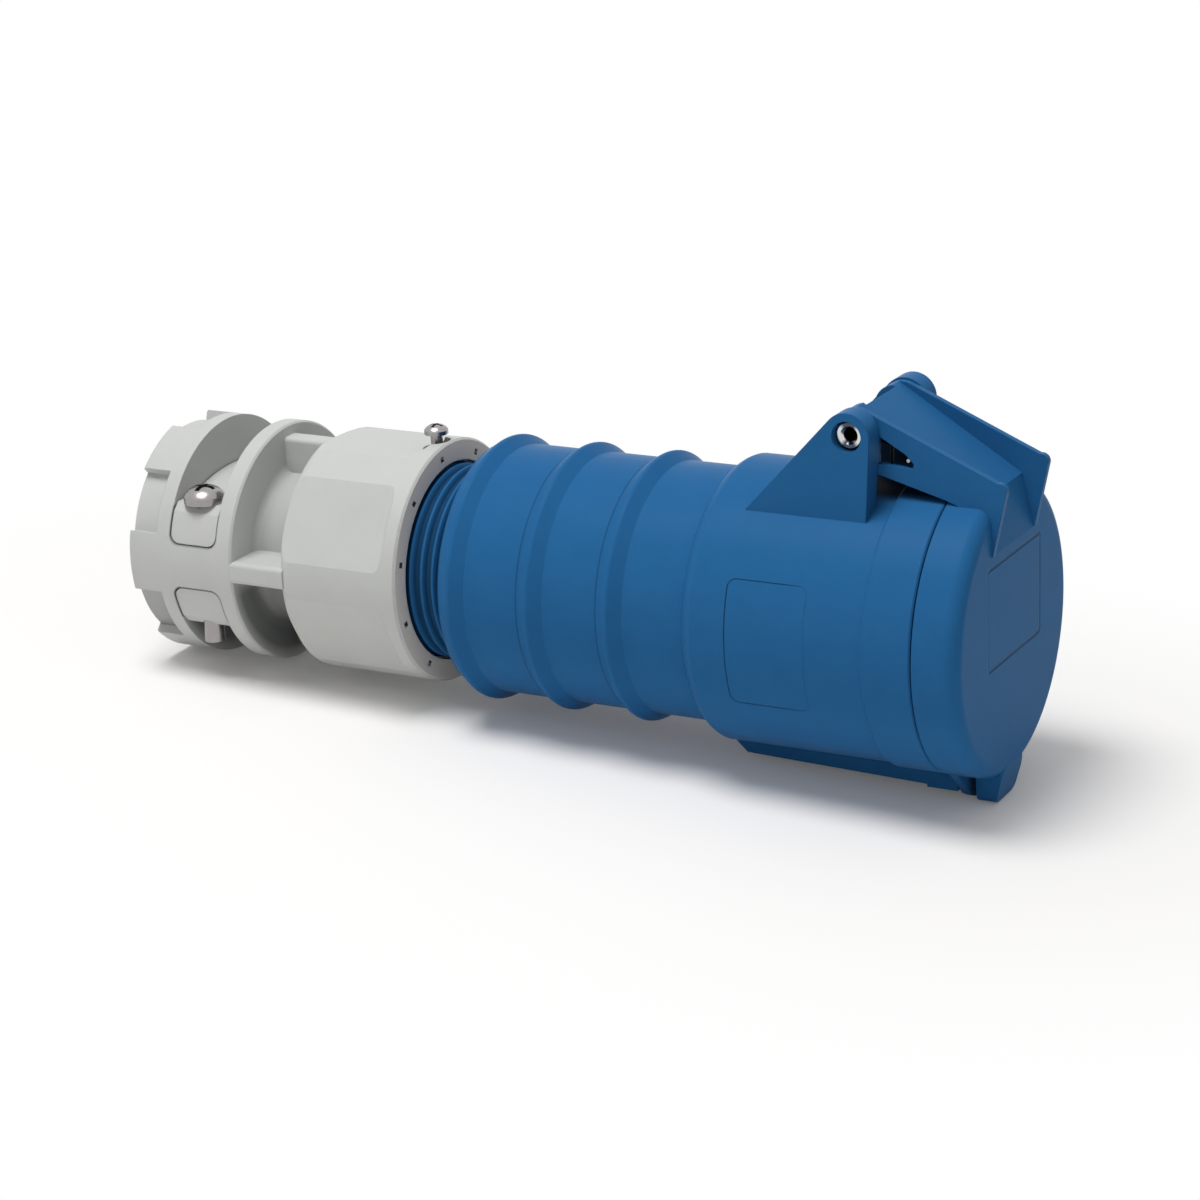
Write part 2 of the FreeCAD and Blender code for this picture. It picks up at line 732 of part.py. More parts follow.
def slotted_screw(head_x, head_r, head, shank_r, length):
    points = [(head_x - length, 0), (head_x - length, shank_r), (head_x, shank_r), (head_x, head_r)]
    points += [(head_x + head * 0.7, head_r), (head_x + head, head_r * 0.7), (head_x + head, 0)]
    half = driver_slot / 2
    top = head_x + head
    slot = block(top - driver_slot_depth, top + beyond, -head_r - beyond, head_r + beyond, -half, half)
    return turned(points).cut(slot)


def carrier_screws():
    screws = []
    length = carrier_screw_length + flange_thick - screw_end_gap
    for angle in flange_screw_angles:
        screw = slotted_screw(flange_front, carrier_screw_head_r, carrier_screw_head, carrier_screw_r, length)
        y, z = polar(flange_screw_circle, angle)
        screw.translate(V(0, y, z))
        screws.append(screw)
    return Part.makeCompound(screws)


def retainer_screws():
    screws = []
    for angle in post_angles:
        screw = slotted_screw(0, post_screw_head_r, post_screw_head, post_screw_r, post_screw_length)
        screw.rotate(ORIGIN, Z, 180)
        y, z = polar(post_circle_r, angle)
        screw.translate(V(retainer_rear, y, z))
        screws.append(screw)
    return Part.makeCompound(screws)


def gland_outside():
    lip = edge_break
    bulge = (nut_rear + nut_round * arc_inset, nut_r - nut_round * arc_inset)
    front_fillet = (nut_rear - neck_fillet * arc_inset, neck_r + neck_fillet * arc_inset)
    rear_fillet = (neck_rear + neck_fillet * arc_inset, neck_r + neck_fillet * arc_inset)
    points = [(nut_face, 0), (nut_face, nut_r - lip), (nut_face - lip, nut_r), (nut_rear + nut_round, nut_r)]
    points += [(bulge, (nut_rear, nut_r - nut_round)), (nut_rear, neck_r + neck_fillet)]
    points += [(front_fillet, (nut_rear - neck_fillet, neck_r)), (neck_rear + neck_fillet, neck_r)]
    points += [(rear_fillet, (neck_rear, neck_r + neck_fillet)), (neck_rear, nut_r - lip)]
    points += [(neck_rear - lip, nut_r), (rear_end + lip, nut_r), (rear_end, nut_r - lip), (rear_end, 0)]
    return turned(points)


def hexagon_cuts():
    rear = nut_rear - beyond
    front = nut_face - nut_rim
    outer = nut_r + beyond
    quarter = flat_runout * arc_inset
    points = [(rear, nut_flat_r), (front - flat_runout, nut_flat_r)]
    points += [((front - quarter, nut_flat_r + quarter), (front, nut_flat_r + flat_runout))]
    points += [(front, outer), (rear, outer)]
    cut = slab_y(points, -nut_r, nut_r)
    return [turned_by(cut, 60.0 * index) for index in range(6)]


def collar_notches():
    floor = nut_r - collar_notch
    points = [(rear_end - beyond, floor), (disc_rear, floor), (disc_rear, nut_r + beyond)]
    points.append((rear_end - beyond, nut_r + beyond))
    face = Part.Face(wire(points, lambda x, r: V(x, 0, r)))
    notch = face.revolve(ORIGIN, X, notch_angle)
    return [turned_by(notch, 60.0 * index - notch_angle / 2) for index in range(6)]


def face_pits():
    middle = nut_r - pit_inset
    half = pit_width / 2
    pit = block(nut_face - pit_depth, nut_face + beyond, -middle - half, half - middle, -half, half)
    return [turned_by(pit, -angle) for angle in pit_angles]


def cage_window(side):
    quarter = window_r * arc_inset
    reach = side * (nut_r + beyond)
    level = side * beam_half
    x0 = disc_front
    x1 = flange_rear
    points = [(x0, reach), (x0, level + side * window_r)]
    points += [((x0 + quarter, level + side * quarter), (x0 + window_r, level)), (x1 - window_r, level)]
    points += [((x1 - quarter, level + side * quarter), (x1, level + side * window_r)), (x1, reach)]
    return slab_y(points, -nut_r - beyond, nut_r + beyond)


def cage_web(reach):
    turn = web_edge_r * arc_inset
    foot = beyond - neck_r
    section = [(foot, -web_half), (web_edge_r - reach, -web_half)]
    section += [((turn - reach, turn - web_half), (-reach, web_edge_r - web_half))]
    section += [(-reach, web_half - web_edge_r)]
    section += [((turn - reach, web_half - turn), (web_edge_r - reach, web_half)), (foot, web_half)]
    return slab_x(section, neck_rear - beyond, nut_rear + beyond)


def gland_nut():
    webs = both_sides(cage_web(nut_r - web_below_rim))
    webs += [turned_by(web, 90) for web in both_sides(cage_web(nut_flat_r - web_below_flat))]
    body = joined(gland_outside().cut(hexagon_cuts()), webs)
    bore = thread_r + fit_gap
    lead = bore + nut_lead_step
    inner = [(nut_face + beyond, 0), (nut_face + beyond, lead), (nut_face - nut_lead, lead)]
    inner += [(nut_face - nut_lead, bore), (thread_floor, bore), (thread_floor, cable_hole_r)]
    inner += [(disc_rear, cable_hole_r), (disc_rear, skirt_r)]
    inner += [(rear_end - beyond, skirt_r), (rear_end - beyond, 0)]
    clear = beam_half + window_r
    middle = block(disc_front, flange_rear, -beam_in, beam_in, -clear, clear)
    cuts = [turned(inner), middle, cage_window(1), cage_window(-1)] + collar_notches() + face_pits()
    for y in (-clamp_y, clamp_y):
        cuts.append(rod_z(-clear, clear, clamp_r + fit_gap, clamp_x, y))
    cuts.append(rod_z(thread_r, nut_r + beyond, lock_r + shaft_gap, lock_x, 0))
    cuts.append(rod_z(nut_r - lock_sink, nut_r + beyond, lock_sink_r, lock_x, 0))
    return body.cut(cuts)


def cross_screw(head_z, head_r, head, shank_r, length, x, y):
    points = [(0, head_z - length), (shank_r, head_z - length), (shank_r, head_z), (head_r, head_z)]
    points += [(head_r, head_z + head * 0.45), ((head_r * 0.72, head_z + head * 0.84), (0, head_z + head))]
    reach = head_r * 0.62
    half = head_r * 0.13
    floor = head_z + head * 0.5
    top = head_z + head + beyond
    cross = [block(x - reach, x + reach, y - half, y + half, floor, top)]
    cross.append(block(x - half, x + half, y - reach, y + reach, floor, top))
    return turned_upright(points, x, y).cut(cross)


def lock_screw():
    return cross_screw(lock_tip + lock_length, lock_head_r, lock_head, lock_r, lock_length, lock_x, 0)


def pressure_ring():
    rear = thread_floor + fit_gap
    front = rear + ring_thick
    outer = thread_r - fit_gap
    inner = cable_hole_r + fit_gap
    return turned([(rear, inner), (rear, outer), (front, outer), (front, inner + ring_flare)])


def cable_grommet():
    front = grommet_front - fit_gap
    rear = thread_floor + ring_thick + 2 * fit_gap
    outer = spigot_bore_r - fit_gap
    points = [(front, grommet_r), (front, outer)]
    points += [(rear + grommet_bevel, outer), (rear, outer - grommet_bevel)]
    points.append((rear, grommet_r))
    pitch = (front - rear) / (groove_count + 1)
    for index in range(groove_count):
        x = rear + pitch * (index + 0.8)
        points += [(x, grommet_r), (x + pitch * 0.25, grommet_r + groove_depth), (x + pitch * 0.5, grommet_r)]
    return turned(points)


def jaw(crown, top, hole_r):
    outer = nut_r - fit_gap
    x0 = disc_front + fit_gap
    x1 = flange_rear - fit_gap
    seat = beam_half + fit_gap
    inner = beam_in - fit_gap
    side = math.sqrt(saddle_r ** 2 - jaw_nose ** 2)
    shoulder = clamp_y - clamp_head_r - fit_gap
    rise = (shoulder / 2, top + (crown - top) * 0.75)
    section = [(-outer, seat), (-inner, seat), (-inner, jaw_nose), (-side, jaw_nose)]
    section += [((0, saddle_r), (side, jaw_nose)), (inner, jaw_nose), (inner, seat), (outer, seat)]
    edge = math.sqrt(outer ** 2 - (top - ear_chamfer) ** 2)
    section += [(outer, top - ear_chamfer), (edge, top - ear_chamfer), (edge - ear_chamfer, top)]
    section += [(shoulder, top), (rise, (0, crown)), ((-rise[0], rise[1]), (-shoulder, top))]
    section += [(ear_chamfer - edge, top), (-edge, top - ear_chamfer), (-outer, top - ear_chamfer)]
    body = slab_x(section, x0, x1).common(rod_x(x0, x1, outer))
    quarter = window_r * arc_inset
    over = crown + beyond
    profile = [(x0, over), (x0, seat + window_r)]
    profile += [((x0 + quarter, seat + quarter), (x0 + window_r, seat)), (x1 - window_r, seat)]
    profile += [((x1 - quarter, seat + quarter), (x1, seat + window_r)), (x1, over)]
    rounded = slab_y(profile, -outer, outer)
    core = block(x0, x1, -inner, inner, 0, over)
    body = body.common(joined(rounded, [core]))
    ribs = []
    for index in range(saddle_ribs):
        x = x0 + (x1 - x0) * (index + 0.5) / saddle_ribs
        half = saddle_rib_width / 2
        ribs.append(ring_x(x - half, x + half, saddle_r + edge_break, saddle_r - saddle_rib))
    upper_half = block(x0, x1, -inner, inner, jaw_nose, crown)
    ribs = [rib.common(upper_half) for rib in ribs]
    holes = [rod_z(0, over, hole_r, clamp_x, y) for y in (-clamp_y, clamp_y)]
    return joined(body, ribs).cut(holes)


def upper_jaw():
    return jaw(jaw_crown, jaw_top, clamp_r + fit_gap)


def lower_jaw():
    return jaw(jaw_crown, jaw_top + lower_ear_extra, clamp_r + thread_gap).mirror(ORIGIN, Z)


def clamp_screws():
    screws = []
    for y in (-clamp_y, clamp_y):
        screws.append(cross_screw(jaw_top, clamp_head_r, clamp_head, clamp_r, clamp_length, clamp_x, y))
    return Part.makeCompound(screws)


pieces = {
    "front_housing": front_housing,
    "handle": handle,
    "hinge_pin": hinge_pin,
    "lid": lid,
    "lid_gasket": lid_gasket,
    "lid_spring": lid_spring,
    "contact_carrier": contact_carrier,
    "contact_block": contact_block,
    "contact_retainer": contact_retainer,
    "terminal_screws": terminal_screws,
    "sleeve_rings": sleeve_rings,
    "carrier_screws": carrier_screws,
    "retainer_screws": retainer_screws,
    "gland_nut": gland_nut,
    "lock_screw": lock_screw,
    "pressure_ring": pressure_ring,
    "cable_grommet": cable_grommet,
    "upper_jaw": upper_jaw,
    "lower_jaw": lower_jaw,
    "clamp_screws": clamp_screws,
}

os.makedirs("parts", exist_ok=True)
for name, make in pieces.items():
    make().exportStep("parts/" + name + ".step")
for name, pin_radius, angle in contacts:
    sleeve(pin_radius, angle).exportStep("parts/" + name + "_sleeve.step")
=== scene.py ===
import math
import bpy
from mathutils import Matrix, Vector


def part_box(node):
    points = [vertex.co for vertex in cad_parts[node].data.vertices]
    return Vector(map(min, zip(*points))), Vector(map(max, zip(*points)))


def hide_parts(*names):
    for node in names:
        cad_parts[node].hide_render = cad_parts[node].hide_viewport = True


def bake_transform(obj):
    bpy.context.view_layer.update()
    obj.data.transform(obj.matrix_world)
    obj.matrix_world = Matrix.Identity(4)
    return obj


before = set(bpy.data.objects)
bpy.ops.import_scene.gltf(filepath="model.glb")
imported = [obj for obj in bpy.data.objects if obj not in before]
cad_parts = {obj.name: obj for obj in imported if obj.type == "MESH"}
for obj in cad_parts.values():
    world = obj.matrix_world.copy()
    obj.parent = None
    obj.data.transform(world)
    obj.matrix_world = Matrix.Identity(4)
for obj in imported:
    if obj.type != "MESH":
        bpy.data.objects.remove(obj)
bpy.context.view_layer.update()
mm = 0.001
scene = bpy.context.scene
white = (1.0, 1.0, 1.0, 1.0)
hingePin = (-24.7, 55.5)      # x and z of the pin's axis, in mm


# a socket that can be used in sums, and the finish that it belongs to
class Signal:
    def __init__(self, finish, socket):
        self.finish = finish
        self.socket = socket

    def sum(self, operation, first, second):
        return self.finish.node("ShaderNodeMath", {"operation": operation}, {0: first, 1: second})

    def __add__(self, other):
        return self.sum("ADD", self, other)

    __radd__ = __add__

    def __sub__(self, other):
        return self.sum("SUBTRACT", self, other)

    def __rsub__(self, other):
        return self.sum("SUBTRACT", other, self)

    def __mul__(self, other):
        return self.sum("MULTIPLY", self, other)

    __rmul__ = __mul__

    def __truediv__(self, other):
        return self.sum("DIVIDE", self, other)

    def __neg__(self):
        return self.sum("MULTIPLY", self, -1.0)

    def __abs__(self):
        return self.sum("ABSOLUTE", self, 0.0)

    def __lt__(self, other):
        return self.sum("LESS_THAN", self, other)

    def __gt__(self, other):
        return self.sum("GREATER_THAN", self, other)

    def most(self, other):
        return self.sum("MAXIMUM", self, other)

    def least(self, other):
        return self.sum("MINIMUM", self, other)

    def power(self, other):
        return self.sum("POWER", self, other)

    # 0 at low, 1 at high and even between them; low may be the larger of the two
    def between(self, low, high):
        return ((self - low) / (high - low)).most(0.0).least(1.0)


# the nodes of a material or of the sky
class Finish:
    def __init__(self, owner):
        owner.use_nodes = True
        self.owner = owner
        self.tree = owner.node_tree
        self.shader = self.tree.nodes.get("Principled BSDF")
        self.output = self.tree.nodes.get("Material Output") or self.tree.nodes.get("World Output")

    def node(self, kind, settings=None, sockets=None, take=0):
        made = self.tree.nodes.new(kind)
        for name, value in (settings or {}).items():
            setattr(made, name, value)
        for name, value in (sockets or {}).items():
            self.feed(made.inputs[name], value)
        return Signal(self, made.outputs[take])

    def feed(self, socket, value):
        if isinstance(value, Signal):
            self.tree.links.new(value.socket, socket)
        else:
            socket.default_value = value

    def set(self, name, value):
        self.feed(self.shader.inputs[name], value)

    # the place on the object, in mm
    def place(self):
        metres = self.node("ShaderNodeTexCoord", take="Object")
        return self.node("ShaderNodeVectorMath", {"operation": "SCALE"}, {0: metres, "Scale": 1 / mm})

    def parts(self, vector):
        split = self.node("ShaderNodeSeparateXYZ", sockets={0: vector})
        outs = split.socket.node.outputs
        return [Signal(self, outs[index]) for index in range(3)]

    def noise(self, vector, size, detail, roughness):
        sockets = {"Vector": vector, "Scale": 1.0 / size, "Detail": detail, "Roughness": roughness}
        return self.node("ShaderNodeTexNoise", {"noise_dimensions": "3D"}, sockets, "Fac")

    def blend(self, amount, first, second):
        mix = self.node("ShaderNodeMix", {"data_type": "RGBA"}, {"Factor": amount}, 2)
        inputs = mix.socket.node.inputs
        self.feed(inputs[6], first)
        self.feed(inputs[7], second)
        return mix

    def bump(self, height, distance, strength, under=None):
        sockets = {"Height": height, "Distance": distance, "Strength": strength}
        if under is not None:
            sockets["Normal"] = under
        return self.node("ShaderNodeBump", {}, sockets, "Normal")


# a colour as a screen shows it, from 0 to 255, made linear
def linear(*shown):
    def one(value):
        value = value / 255
        return value / 12.92 if value <= 0.04045 else ((value + 0.055) / 1.055) ** 2.4
    return (*(one(value) for value in shown), 1.0)


def dimmed(colour, share):
    return (*(value * share for value in colour[:3]), 1.0)


def diagonal(first, second):
    return (first * first + second * second).power(0.5)


# camera, floor and light
shot = {"azimuth": 28.565, "elevation": 18.173, "roll": -2.333, "distance": 0.961289,
        "target": (-0.112399, 0.0, -0.006868), "lens": 101.29, "sensor": 36.0, "near": 0.05, "far": 50.0}
studio = {"ambient": 0.40, "white": 1.0}
paper = {"rearRest": (-240.0, -35.6), "frontRest": (0.5, -48.4), "size": 6.0,
         "colour": (0.905, 0.888, 0.87, 1.0), "roughness": 0.9, "gloss": 0.1,
         "halfObject": 100.0, "paleness": 0.08, "fadeFrom": 20.0, "fadeTo": 200.0}
keyLamp = {"direction": (-0.13, -0.23, 0.95), "distance": 1.1, "size": 0.55, "power": 9.6}
backLamp = {"direction": (-0.2, 0.75, 0.63), "distance": 1.3, "size": 0.9, "power": 0.3}


def placeCamera():
    a, e, r = (math.radians(shot[name]) for name in ("azimuth", "elevation", "roll"))
    back = Vector((math.sin(a) * math.cos(e), -math.cos(a) * math.cos(e), math.sin(e)))
    level = Vector((math.cos(a), math.sin(a), 0.0))
    upright = back.cross(level)
    right = level * math.cos(r) + upright * math.sin(r)
    up = upright * math.cos(r) - level * math.sin(r)
    data = bpy.data.cameras.new("camera")
    data.lens = shot["lens"]
    data.sensor_width = shot["sensor"]
    data.clip_start = shot["near"]
    data.clip_end = shot["far"]
    camera = bpy.data.objects.new("camera", data)
    scene.collection.objects.link(camera)
    turn = Matrix((right, up, back)).transposed().to_4x4()
    camera.matrix_world = Matrix.Translation(Vector(shot["target"]) + back * shot["distance"]) @ turn
    scene.camera = camera


def cameraRays(finish):
    rays = finish.node("ShaderNodeLightPath").socket.node.outputs
    shown = [Signal(finish, rays[name]) for name in ("Is Camera Ray", "Is Glossy Ray", "Is Transmission Ray")]
    return (shown[0] + shown[1] + shown[2]).least(1.0)


# the paper keeps the object's shadow, and further off it fades into the white background
def floorPaper():
    finish = Finish(bpy.data.materials.new("floorPaper"))
    finish.set("Base Color", paper["colour"])
    finish.set("Roughness", paper["roughness"])
    finish.set("Specular IOR Level", paper["gloss"])
    x, y, z = finish.parts(finish.place())
    past = (abs(x) - paper["halfObject"]).most(0.0)
    far = diagonal(past, y).between(paper["fadeFrom"], paper["fadeTo"])
    eased = far * far * (3.0 - 2.0 * far)
    amount = (paper["paleness"] + eased * (1.0 - paper["paleness"])) * cameraRays(finish)
    plain = Signal(finish, finish.shader.outputs[0])
    glow = finish.node("ShaderNodeEmission", {}, {"Color": white, "Strength": studio["white"]})
    mixed = finish.node("ShaderNodeMixShader", {}, {0: amount, 1: plain, 2: glow})
    finish.feed(finish.output.inputs["Surface"], mixed)
    return finish.owner


# the floor is level under the object as it rests, so in the model's frame it slopes
def makeFloor():
    rear, front = paper["rearRest"], paper["frontRest"]
    fall = math.atan2(front[1] - rear[1], front[0] - rear[0])
    middle = (rear[0] + front[0]) / 2
    height = rear[1] + math.tan(fall) * (middle - rear[0])
    half = paper["size"] / 2
    mesh = bpy.data.meshes.new("floor")
    points = [(-half, -half, 0), (half, -half, 0), (half, half, 0), (-half, half, 0)]
    mesh.from_pydata(points, [], [(0, 1, 2, 3)])
    mesh.materials.append(floorPaper())
    floor = bpy.data.objects.new("floor", mesh)
    scene.collection.objects.link(floor)
    floor.rotation_euler = (0.0, -fall, 0.0)
    floor.location = (middle * mm, 0.0, height * mm)


def makeSky():
    scene.world = bpy.data.worlds.new("studio")
    finish = Finish(scene.world)
    finish.tree.nodes.remove(finish.tree.nodes["Background"])
    shown = finish.node("ShaderNodeBackground", {}, {"Color": white, "Strength": studio["white"]})
    light = finish.node("ShaderNodeBackground", {}, {"Color": white, "Strength": studio["ambient"]})
    mixed = finish.node("ShaderNodeMixShader", {}, {0: cameraRays(finish), 1: light, 2: shown})
    finish.feed(finish.output.inputs["Surface"], mixed)


def makeLamp(name, lamp):
    data = bpy.data.lights.new(name, "AREA")
    data.shape = "DISK"
    data.size = lamp["size"]
    data.energy = lamp["power"]
    lit = bpy.data.objects.new(name, data)
    scene.collection.objects.link(lit)
    aim = Vector(lamp["direction"]).normalized()
    lit.location = Vector(shot["target"]) + aim * lamp["distance"]
    lit.rotation_mode = "QUATERNION"
    lit.rotation_quaternion = aim.to_track_quat("Z", "Y")


scene.view_settings.view_transform = "Standard"
placeCamera()
makeFloor()
makeSky()
makeLamp("keyLamp", keyLamp)
makeLamp("backLamp", backLamp)
print("camera, floor and light made")


# 1 on the line round a rectangle with rounded corners and 0 away from it; u and v count from where
# the corners begin
def outline(u, v, corner, line):
    reach = diagonal(u.most(0.0), v.most(0.0)) + u.most(v).least(0.0) - corner
    return (1.0 - abs(reach) / line).most(0.0)


# painted shade along the engraved frame on the barrel's side, which is also a bump groove; the shade is faint
# at the frame's front end and full behind
barrelLabel = {"rear": -53.7, "front": -30.6, "halfAngle": 25.8, "radius": 40.0, "skin": 0.6,
               "corner": 2.6, "line": 0.22, "plain": 1.0, "faintBehind": 7.0, "faint": 0.3}


def labelLine(x, y, z):
    size = barrelLabel
    middle = (size["rear"] + size["front"]) / 2
    halfLength = (size["front"] - size["rear"]) / 2
    halfArc = math.radians(size["halfAngle"]) * size["radius"]
    arc = z.sum("ARCTAN2", z, -y) * size["radius"]
    u = abs(x - middle) - (halfLength - size["corner"])
    v = abs(arc) - (halfArc - size["corner"])
    rise = x.between(size["front"] - size["plain"], size["front"] - size["faintBehind"])
    strength = size["faint"] + rise * (1.0 - size["faint"])
    outside = diagonal(y, z) > size["radius"] - size["skin"]
    return outline(u, v, size["corner"], size["line"]) * strength * outside


# painted shade along the engraved frame on the lid's face, which is also a bump groove; it fades out at its
# near edge
lidPanel = {"half": 19.0, "bottom": -6.5, "top": 21.5, "corner": 1.2, "face": 12.4, "line": 0.6,
            "fade": (-0.2, 0.9), "strength": 1.7}


def panelLine(x, y, z):
    size = lidPanel
    middle = (size["bottom"] + size["top"]) / 2
    halfHeight = (size["top"] - size["bottom"]) / 2
    u = abs(y) - (size["half"] - size["corner"])
    v = abs(z - middle) - (halfHeight - size["corner"])
    line = outline(u, v, size["corner"], size["line"]) * (x > size["face"])
    fade = y.between(size["fade"][0] - size["half"], size["fade"][1] - size["half"])
    return (line * fade * size["strength"]).least(1.0)


# painted shade under the sloping web of the lid's arm, inside its side walls
armHollow = {"half": 14.5, "edge": 0.3, "start": 3.0, "web": 58.9, "slope": 32.1, "webEdge": 1.0,
             "floor": 39.0, "depth": 0.93}


def armShade(x, y, z):
    size = armHollow
    start = hingePin[0] + size["start"]
    web = size["web"] - (x - hingePin[0]) * math.tan(math.radians(size["slope"]))
    inside = abs(y).between(size["half"], size["half"] - size["edge"])
    ahead = x.between(start, start + size["webEdge"])
    under = z.between(web, web - size["webEdge"])
    return inside * ahead * under * (z > size["floor"]) * size["depth"]


# painted shade on the barrel under the arm, and on the low part of the inner faces of the two ears
underArm = {"half": 17.3, "edge": 1.3, "soft": 4.5, "rear": -46.0, "rise": 12.0, "floor": 35.0, "top": 47.0,
            "level": 3.0, "ear": 1.0, "earFront": -22.0, "earSoft": 2.0, "depth": 0.93}


def housingShade(x, y, z):
    size = underArm
    barrel = abs(y).between(size["half"] - size["edge"], size["half"] - size["soft"])
    ears = (abs(y) > size["half"] - size["ear"]) * (abs(y) < size["half"])
    ears = ears * x.between(size["earFront"], size["earFront"] - size["earSoft"])
    ahead = x.between(size["rear"], size["rear"] + size["rise"])
    low = z.between(size["floor"], size["floor"] + size["level"])
    high = z.between(size["top"] + size["level"], size["top"])
    return barrel.most(ears) * ahead * low * high * size["depth"]


# painted shade in the creases at the feet of the grip's ribs, and in the valleys of the thread
grip = {"feet": (-68.0, -94.7, -119.5), "crease": 0.4, "depth": 0.5}
thread = {"start": -144.8, "edge": 0.5, "crest": 28.1, "root": 27.1, "depth": 0.6}


def handleShade(x, y, z):
    creases = sum((1.0 - abs(x - foot) / grip["crease"]).most(0.0) for foot in grip["feet"])
    valley = diagonal(y, z).between(thread["crest"], thread["root"])
    behind = (thread["start"] - x).between(0.0, thread["edge"])
    return (creases * grip["depth"]).most(valley * behind * thread["depth"])


# painted shade along the joint round the ears of the jaws, in the windows of the cage
jawWindow = {"middle": -227.35, "half": 8.05, "corner": 3.0, "beam": 6.5, "top": 17.4, "topEdge": 0.5,
             "line": 0.5, "inside": (20.0, 24.0), "depth": 0.55}


def jawShade(x, y, z):
    size = jawWindow
    u = abs(x - size["middle"]) - (size["half"] - size["corner"])
    v = size["beam"] + size["corner"] - abs(z)
    top = (size["top"] - abs(z)).between(0.0, size["topEdge"])
    return outline(u, v, size["corner"], size["line"]) * top * size["depth"]


# painted shade in the deep places of the nut and its cage: its windows, neck, notches, the dish round the
# lock screw and the pits in its face; each pair is where the shade starts and where it is full
cage = {"edge": 0.3, "rim": (35.3, 31.7), "depth": 0.7, "jaws": (-235.7, -219.0), "jawsLow": (-17.0, -20.0),
        "neck": (-214.5, -198.2), "neckLow": (-3.0, -8.0), "core": (15.0, 27.0), "coreShade": 0.65,
        "neckInside": (26.0, 19.0), "neckShadeStrength": 0.25}
notches = {"wall": (33.3, 32.8), "front": -240.2, "low": (5.0, -20.0), "depth": 0.4}
lockDish = {"x": -163.7, "radius": (4.1, 3.7), "above": 20.0, "depth": 0.7}
rimPits = {"x": (-160.6, -158.95), "ring": (29.4, 31.5), "depth": 0.9}


def within(x, pair):
    edge = cage["edge"]
    return x.between(pair[0], pair[0] + edge) * x.between(pair[1], pair[1] - edge)


def cageShade(x, y, z):
    radius = diagonal(y, z)
    inNeck = within(x, cage["neck"])
    low = inNeck * z.between(*cage["neckLow"]) * radius.between(*cage["core"]).most(cage["coreShade"])
    low = low + within(x, cage["jaws"]) * z.between(*cage["jawsLow"])
    windows = radius.between(*cage["rim"]) * low * cage["depth"]
    neck = inNeck * radius.between(*cage["neckInside"]) * cage["neckShadeStrength"]
    notch = radius.between(*notches["wall"]) * (x < notches["front"]) * z.between(*notches["low"])
    notch = notch * notches["depth"]
    joint = jawShade(x, y, z) * radius.between(*jawWindow["inside"])
    dish = diagonal(x - lockDish["x"], y).between(*lockDish["radius"]) * (z > lockDish["above"])
    dish = dish * lockDish["depth"]
    pits = (x > rimPits["x"][0]) * (x < rimPits["x"][1]) * (radius > rimPits["ring"][0])
    pits = pits * (radius < rimPits["ring"][1]) * rimPits["depth"]
    return windows.most(neck).most(notch).most(joint).most(dish).most(pits).least(1.0)


# moulded plastics; the blue and the grey look each hold the dark colour of their painted shade, and the grey
# one also a lighter colour of painted light for the nut's front face
bluePlastic = {"colour": linear(40, 100, 151), "shade": linear(37, 94, 144), "patch": 9.0,
               "grain": 0.32, "grainDepth": 0.035, "roughness": 0.33, "gloss": 0.02, "edge": 0.35,
               "paintedShade": linear(16, 22, 28)}
greyPlastic = {"colour": linear(192, 194, 191), "shade": linear(184, 186, 184), "patch": 11.0,
               "grain": 0.30, "grainDepth": 0.03, "roughness": 0.5, "gloss": 0.3, "edge": 0.4,
               "paintedShade": linear(50, 57, 58), "face": -159.0, "faceColour": linear(232, 223, 212)}
darkPlastic = {"colour": linear(44, 44, 46), "shade": linear(36, 36, 38), "patch": 8.0,
               "grain": 0.35, "grainDepth": 0.03, "roughness": 0.5, "gloss": 0.3, "edge": 0.25}
# the pairs are a noise's detail and roughness
moulding = {"patch": (3.0, 0.55), "grain": (2.0, 0.6), "flow": (2.0, 0.5), "flowSize": 1.7, "flowHeight": 0.6,
            "speckle": 0.5, "speckleShade": 0.86, "lineShadeAmount": 0.55, "lineShade": 0.35, "lineDepth": 0.35,
            "patchSpread": 0.1, "grainSpread": 0.08, "relief": 0.6, "edgeSamples": 4}
average = 0.5                 # of a noise


